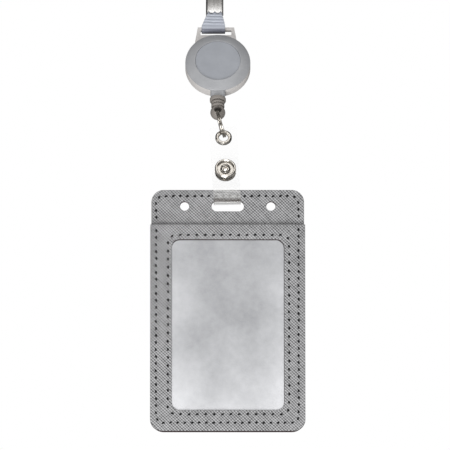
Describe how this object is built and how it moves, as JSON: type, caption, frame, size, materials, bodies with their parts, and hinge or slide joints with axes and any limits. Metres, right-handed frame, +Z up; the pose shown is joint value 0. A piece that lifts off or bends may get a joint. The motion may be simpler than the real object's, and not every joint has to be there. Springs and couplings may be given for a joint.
{
  "type": "retractable badge reel",
  "caption": "Retractable badge reel on a lanyard end, with a pull cord, split ring, clear snap strap and a stitched window badge holder.",
  "frame": {"origin": "top centre of the lanyard's crimp, where the neck strap would go on", "axes": "+Z up along the hanging assembly, front faces -Y, +X to the right seen from the front"},
  "size_m": [0.0718, 0.0402, 0.2156],
  "materials": {
    "crimp_steel": "satin bent sheet",
    "satin_webbing": "satin woven",
    "shell_plastic": "moulded, light grey",
    "cover_plastic": "moulded, grey",
    "label_plastic": "smooth, blue grey",
    "spring_steel": "blued strip",
    "nylon_cord": "braided",
    "spool_plastic": "moulded",
    "boot_rubber": "soft moulded",
    "ring_steel": "nickel plated wire",
    "clear_vinyl": "clear flexible sheet",
    "snap_nickel": "nickel plated",
    "grey_leather": "cross-hatched imitation leather",
    "core_board": "dark maroon pressed board",
    "window_vinyl": "frosted clear sheet",
    "liner_fabric": "thin silver grey sheet",
    "black_thread": "waxed thread"
  },
  "bodies": {
    "lanyard": {"lanyard_crimp": "crimp_steel", "lanyard_loop": "satin_webbing"},
    "reel": {"rear_shell": "shell_plastic", "front_cover": "cover_plastic", "label_disc": "label_plastic", "mainspring": "spring_steel", "cord_run": "nylon_cord"},
    "spool": {"spool": "spool_plastic", "spool_cap": "spool_plastic", "cord_winding": "nylon_cord"},
    "cord": {"cord_lead": "nylon_cord", "cord_knot": "nylon_cord"},
    "cord_end": {"cord_end_boot": "boot_rubber"},
    "link": {"split_ring": "ring_steel"},
    "strap": {"strap_rear_leaf": "clear_vinyl", "strap_grommet": "snap_nickel", "grommet_washer": "snap_nickel", "snap_stud": "snap_nickel", "snap_stud_post": "snap_nickel"},
    "strap_flap": {"strap_front_leaf": "clear_vinyl", "snap_cap": "snap_nickel", "snap_socket": "snap_nickel"},
    "holder": {"holder_base_panel": "grey_leather", "holder_stiffener": "core_board", "holder_back_panel": "grey_leather", "holder_front_panel": "grey_leather", "window_film": "window_vinyl", "pocket_liner": "liner_fabric", "outer_stitching": "black_thread", "inner_stitching": "black_thread"}
  },
  "joints": [
    {"name": "reel_swing", "type": "hinge", "parent": "lanyard", "child": "reel", "pos_m": [0.0015, 0, -0.0169], "axis": [1, 0, 0], "range_deg": [-80, 80]},
    {"name": "cord_pull", "type": "slide", "parent": "reel", "child": "cord", "axis": [0, 0, -1], "range_m": [0, 0.8], "stiffness_N_per_m": 0.6, "springref_m": -1.4, "deforming": ["cord_lead"]},
    {"name": "spool_spin", "type": "hinge", "parent": "reel", "child": "spool", "pos_m": [0.0015, -0.00125, -0.0372], "axis": [0, 1, 0], "continuous": true},
    {"name": "end_twist", "type": "hinge", "parent": "cord", "child": "cord_end", "pos_m": [0.0015, -0.00125, -0.0585], "axis": [0, 0, 1], "continuous": true},
    {"name": "link_swing", "type": "hinge", "parent": "cord_end", "child": "link", "pos_m": [0.0015, -0.00125, -0.0628], "axis": [0, 1, 0], "range_deg": [-75, 75]},
    {"name": "strap_swing", "type": "hinge", "parent": "link", "child": "strap", "pos_m": [0.00283, -0.00125, -0.069], "axis": [0.9688, -0.1239, 0.2148], "range_deg": [-60, 60]},
    {"name": "snap_open", "type": "hinge", "parent": "strap", "child": "strap_flap", "pos_m": [0.00586, -0.0037, -0.11112], "axis": [0.9988, 0, 0.0489], "range_deg": [0, 95]},
    {"name": "holder_swing", "type": "hinge", "parent": "strap", "child": "holder", "pos_m": [0.00586, -0.0021, -0.11112], "axis": [1, 0, 0], "range_deg": [-28, 0]}
  ],
  "couplings": [
    {"joint": "spool_spin", "follows": "cord_pull", "rad_per_m": 100.7}
  ]
}
